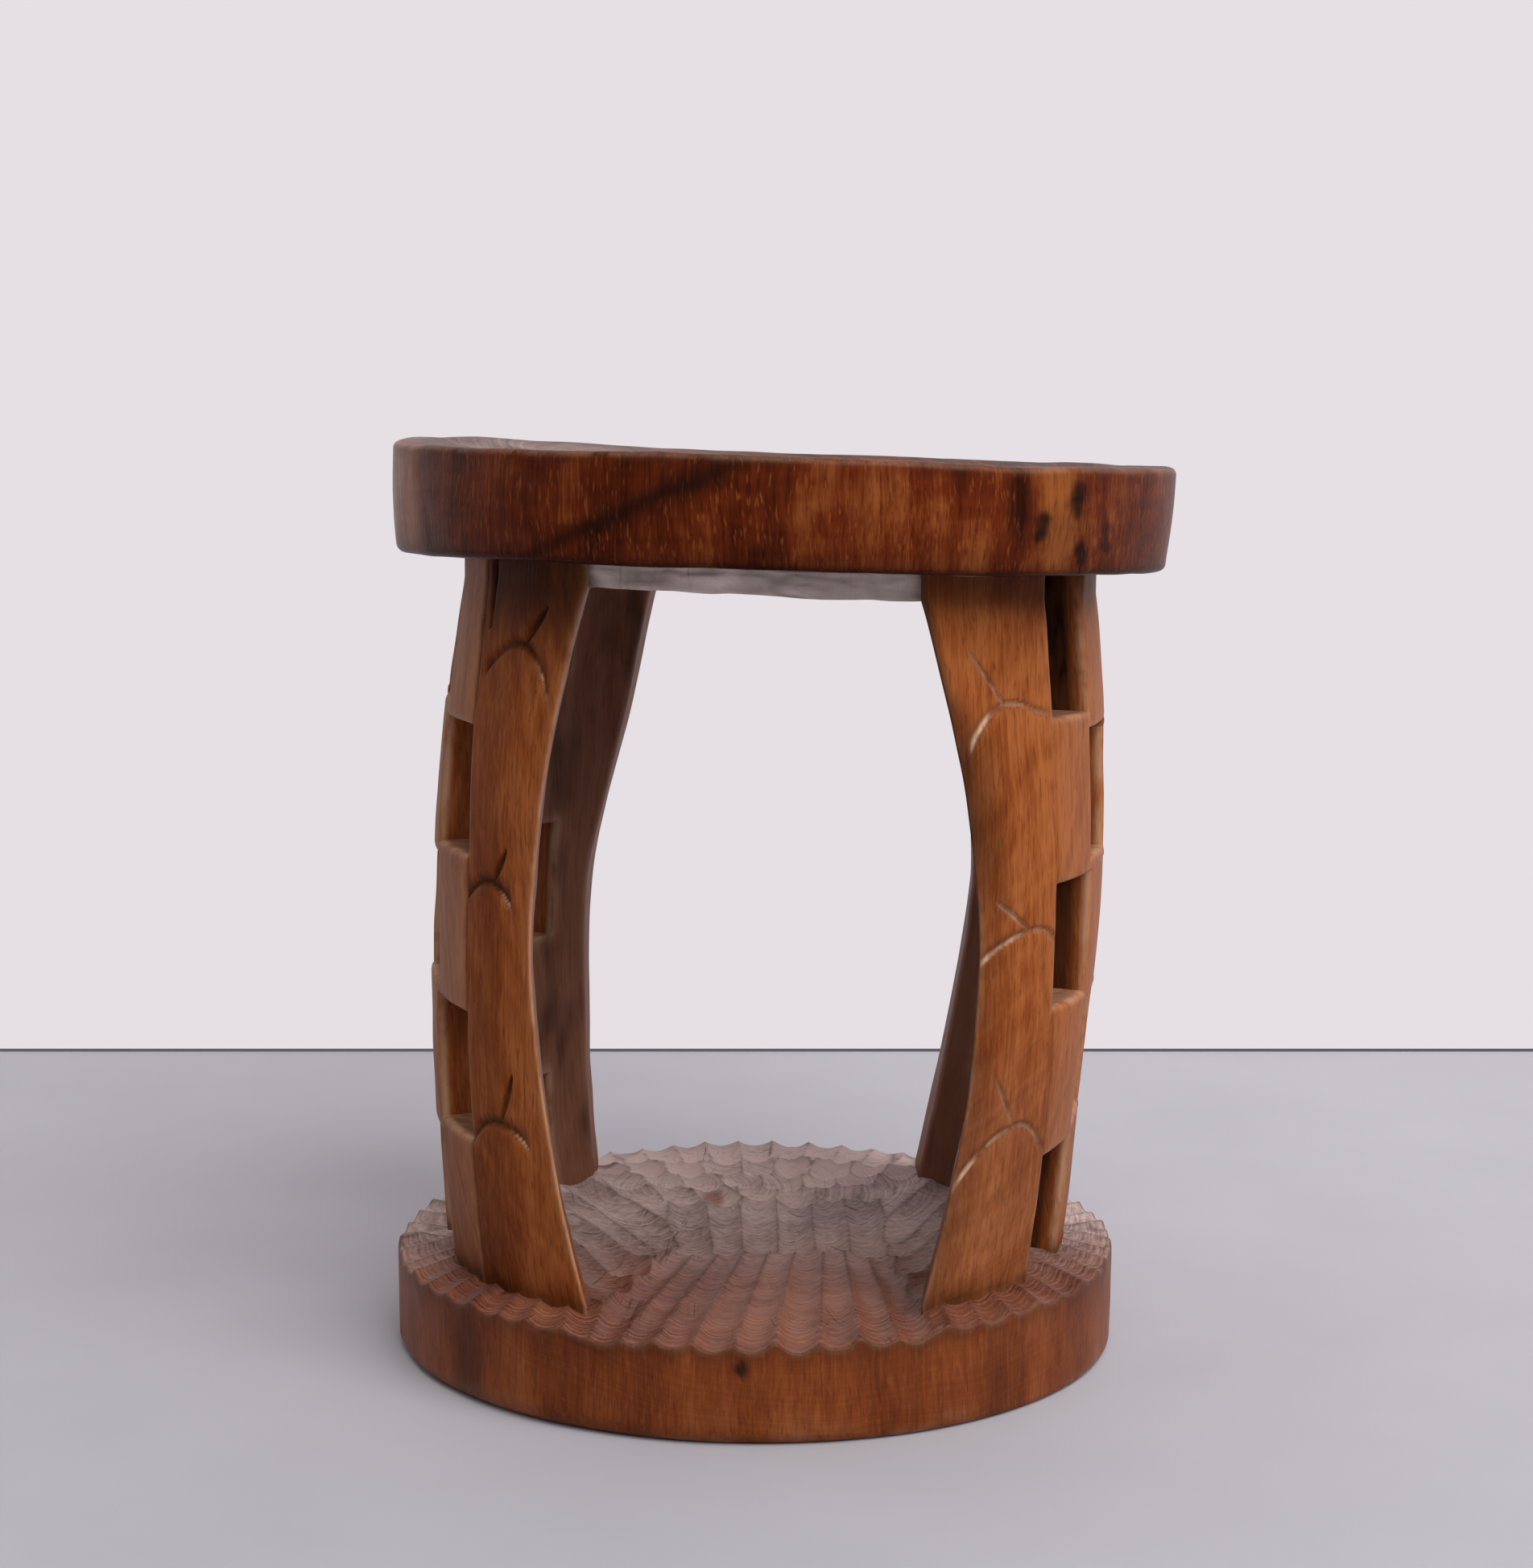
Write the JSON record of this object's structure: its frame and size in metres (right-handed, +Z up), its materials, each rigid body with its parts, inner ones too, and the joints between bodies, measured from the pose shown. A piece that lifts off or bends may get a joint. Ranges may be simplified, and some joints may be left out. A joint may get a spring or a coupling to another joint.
{
  "type": "carved wooden stool",
  "caption": "Low round wooden stool: a thick dished seat on curved side walls pierced in a chequer of windows, over a round gouged base.",
  "frame": {"origin": "middle of the base's flat underside", "axes": "+Z up, -Y towards the front opening that the picture shows, +X to its right"},
  "size_m": [0.3487, 0.346, 0.4058],
  "materials": {
    "seat_wood": "waxed, worn satin",
    "base_wood": "dry, gouged on top, worn satin on the side",
    "leg_wood": "waxed, worn satin"
  },
  "bodies": {
    "root": {"seat": "seat_wood", "base": "base_wood", "front_left_leg": "leg_wood", "front_right_leg": "leg_wood", "rear_left_leg": "leg_wood", "rear_right_leg": "leg_wood"}
  },
  "joints": []
}
